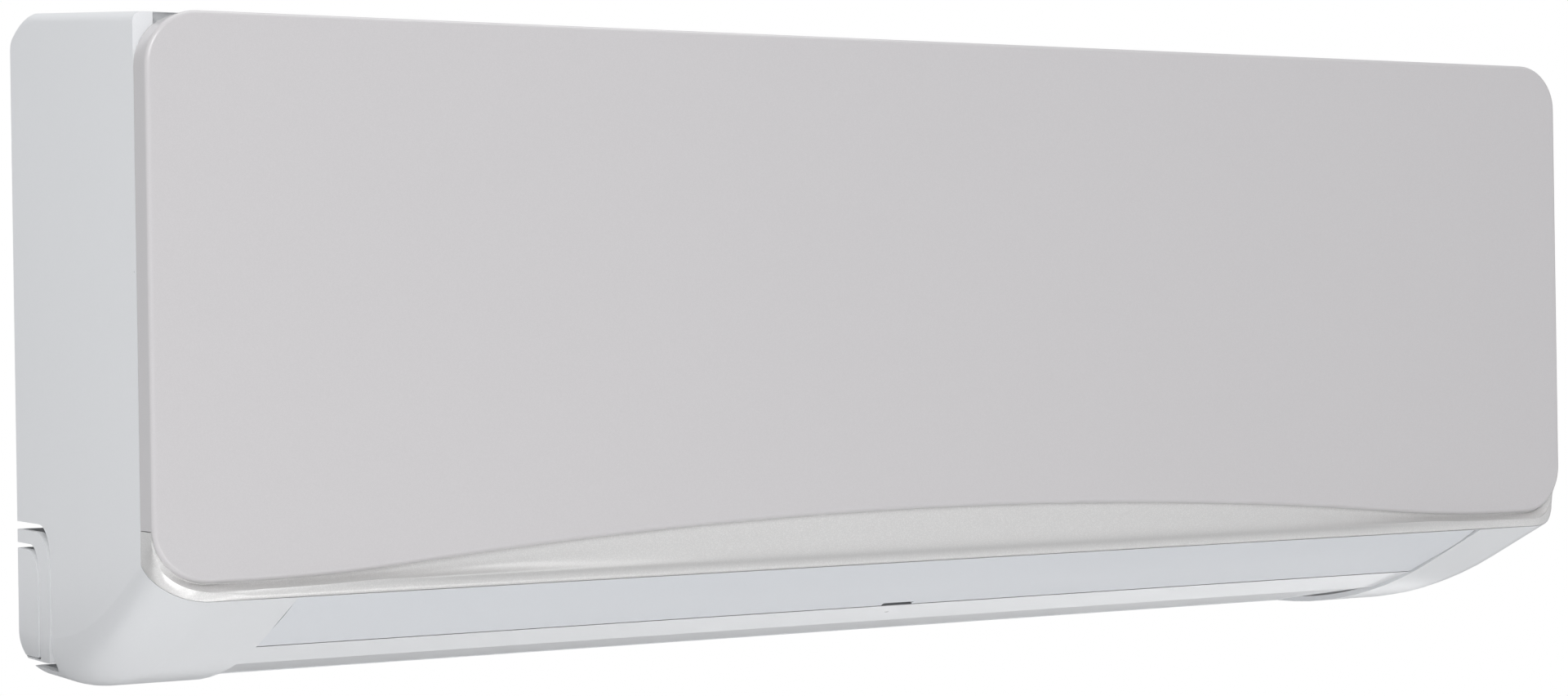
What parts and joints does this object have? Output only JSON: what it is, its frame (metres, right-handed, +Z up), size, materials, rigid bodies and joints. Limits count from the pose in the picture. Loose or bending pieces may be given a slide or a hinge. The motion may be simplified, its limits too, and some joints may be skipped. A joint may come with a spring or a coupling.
{
  "type": "mini split indoor unit",
  "caption": "Wall-hung air conditioner indoor unit: rounded white casing, hinged flat front panel over a silver strip, swinging outlet flap, cross-flow fan, coil and filters inside.",
  "frame": {"origin": "middle of the wall plate's back face, on the wall plane; the casing's height is centred on it", "axes": "+X along the width to the viewer's right, +Y into the wall, +Z up; the front faces -Y"},
  "size_m": [0.715, 0.1925, 0.283],
  "materials": {
    "casing": "satin",
    "panel": "gloss",
    "trim": "satin",
    "flap": "satin",
    "inner_plastic": "matte",
    "white_plastic": "matte",
    "dark_plastic": "matte",
    "fan": "matte",
    "fins": "satin",
    "steel": "brushed",
    "zinc": "satin",
    "copper": "satin",
    "brass": "satin",
    "foam": "matte",
    "rubber": "matte",
    "filter_mesh": "matte",
    "board": "matte"
  },
  "bodies": {
    "unit": {"front_casing": "casing", "left_exit_cover": "casing", "left_exit_inner_cover": "casing", "right_exit_cover": "casing", "right_exit_inner_cover": "casing", "silver_trim": "trim", "louver_center_bracket": "white_plastic", "louver_bush": "white_plastic", "louver_motor": "steel", "rear_chassis": "inner_plastic", "mounting_plate": "zinc", "outlet_duct": "inner_plastic", "drain_plug": "rubber", "casing_screws": "steel", "fan_bearing": "rubber", "fan_motor": "zinc", "motor_cover": "inner_plastic", "front_fin_pack": "fins", "upper_fin_pack": "fins", "rear_fin_pack": "fins", "left_tube_sheet": "zinc", "right_tube_sheet": "zinc", "return_bends": "copper", "temperature_sensor": "copper", "gas_pipe": "copper", "liquid_pipe": "copper", "flare_nuts": "brass", "pipe_insulation": "foam", "pipe_clamp": "inner_plastic", "left_filter_frame": "dark_plastic", "right_filter_frame": "dark_plastic", "left_filter_mesh": "filter_mesh", "right_filter_mesh": "filter_mesh", "control_box": "inner_plastic", "control_box_cover": "zinc", "circuit_board": "board", "terminal_block": "dark_plastic", "display_module": "dark_plastic", "left_vane_strip": "dark_plastic", "right_vane_strip": "dark_plastic"},
    "panel": {"front_panel": "panel"},
    "flap": {"louver": "flap", "louver_drive_shaft": "dark_plastic"},
    "fan": {"cross_flow_fan": "fan", "fan_stub_shaft": "steel", "fan_motor_shaft": "steel"},
    "button": {"manual_button": "white_plastic"},
    "left_vane_1": {"left_vane_1": "dark_plastic"},
    "left_vane_2": {"left_vane_2": "dark_plastic"},
    "left_vane_3": {"left_vane_3": "dark_plastic"},
    "left_vane_4": {"left_vane_4": "dark_plastic"},
    "left_vane_5": {"left_vane_5": "dark_plastic"},
    "left_link": {"left_link_bar": "dark_plastic"},
    "right_vane_1": {"right_vane_1": "dark_plastic"},
    "right_vane_2": {"right_vane_2": "dark_plastic"},
    "right_vane_3": {"right_vane_3": "dark_plastic"},
    "right_vane_4": {"right_vane_4": "dark_plastic"},
    "right_vane_5": {"right_vane_5": "dark_plastic"},
    "right_link": {"right_link_bar": "dark_plastic"}
  },
  "joints": [
    {"name": "panel_hinge", "type": "hinge", "parent": "unit", "child": "panel", "pos_m": [0, -0.1704, 0.1248], "axis": [-1, 0, 0], "range_deg": [0, 62]},
    {"name": "flap_swing", "type": "hinge", "parent": "unit", "child": "flap", "pos_m": [0, -0.14113, -0.11112], "axis": [1, 0, 0], "range_deg": [0, 65]},
    {"name": "fan_spin", "type": "hinge", "parent": "unit", "child": "fan", "pos_m": [0, -0.088, -0.03], "axis": [1, 0, 0], "continuous": true},
    {"name": "button_press", "type": "slide", "parent": "unit", "child": "button", "axis": [0, 1, 0], "range_m": [0, 0.0012], "stiffness_N_per_m": 800},
    {"name": "left_vane_1_turn", "type": "hinge", "parent": "unit", "child": "left_vane_1", "pos_m": [-0.046, -0.112, -0.1], "axis": [0, 0, 1], "range_deg": [-35, 35]},
    {"name": "left_vane_2_turn", "type": "hinge", "parent": "unit", "child": "left_vane_2", "pos_m": [-0.095, -0.112, -0.1], "axis": [0, 0, 1], "range_deg": [-35, 35]},
    {"name": "left_vane_3_turn", "type": "hinge", "parent": "unit", "child": "left_vane_3", "pos_m": [-0.144, -0.112, -0.1], "axis": [0, 0, 1], "range_deg": [-35, 35]},
    {"name": "left_vane_4_turn", "type": "hinge", "parent": "unit", "child": "left_vane_4", "pos_m": [-0.193, -0.112, -0.1], "axis": [0, 0, 1], "range_deg": [-35, 35]},
    {"name": "left_vane_5_turn", "type": "hinge", "parent": "unit", "child": "left_vane_5", "pos_m": [-0.242, -0.112, -0.1], "axis": [0, 0, 1], "range_deg": [-35, 35]},
    {"name": "left_link_turn", "type": "hinge", "parent": "left_vane_1", "child": "left_link", "pos_m": [-0.046, -0.146, -0.0917], "axis": [0, 0, 1], "range_deg": [-35, 35]},
    {"name": "right_vane_1_turn", "type": "hinge", "parent": "unit", "child": "right_vane_1", "pos_m": [0.046, -0.112, -0.1], "axis": [0, 0, 1], "range_deg": [-35, 35]},
    {"name": "right_vane_2_turn", "type": "hinge", "parent": "unit", "child": "right_vane_2", "pos_m": [0.095, -0.112, -0.1], "axis": [0, 0, 1], "range_deg": [-35, 35]},
    {"name": "right_vane_3_turn", "type": "hinge", "parent": "unit", "child": "right_vane_3", "pos_m": [0.144, -0.112, -0.1], "axis": [0, 0, 1], "range_deg": [-35, 35]},
    {"name": "right_vane_4_turn", "type": "hinge", "parent": "unit", "child": "right_vane_4", "pos_m": [0.193, -0.112, -0.1], "axis": [0, 0, 1], "range_deg": [-35, 35]},
    {"name": "right_vane_5_turn", "type": "hinge", "parent": "unit", "child": "right_vane_5", "pos_m": [0.242, -0.112, -0.1], "axis": [0, 0, 1], "range_deg": [-35, 35]},
    {"name": "right_link_turn", "type": "hinge", "parent": "right_vane_1", "child": "right_link", "pos_m": [0.046, -0.146, -0.0917], "axis": [0, 0, 1], "range_deg": [-35, 35]}
  ],
  "couplings": [
    {"joint": "left_vane_2_turn", "follows": "left_vane_1_turn", "ratio": 1},
    {"joint": "left_vane_3_turn", "follows": "left_vane_1_turn", "ratio": 1},
    {"joint": "left_vane_4_turn", "follows": "left_vane_1_turn", "ratio": 1},
    {"joint": "left_vane_5_turn", "follows": "left_vane_1_turn", "ratio": 1},
    {"joint": "left_link_turn", "follows": "left_vane_1_turn", "ratio": -1},
    {"joint": "right_vane_2_turn", "follows": "right_vane_1_turn", "ratio": 1},
    {"joint": "right_vane_3_turn", "follows": "right_vane_1_turn", "ratio": 1},
    {"joint": "right_vane_4_turn", "follows": "right_vane_1_turn", "ratio": 1},
    {"joint": "right_vane_5_turn", "follows": "right_vane_1_turn", "ratio": 1},
    {"joint": "right_link_turn", "follows": "right_vane_1_turn", "ratio": -1}
  ]
}
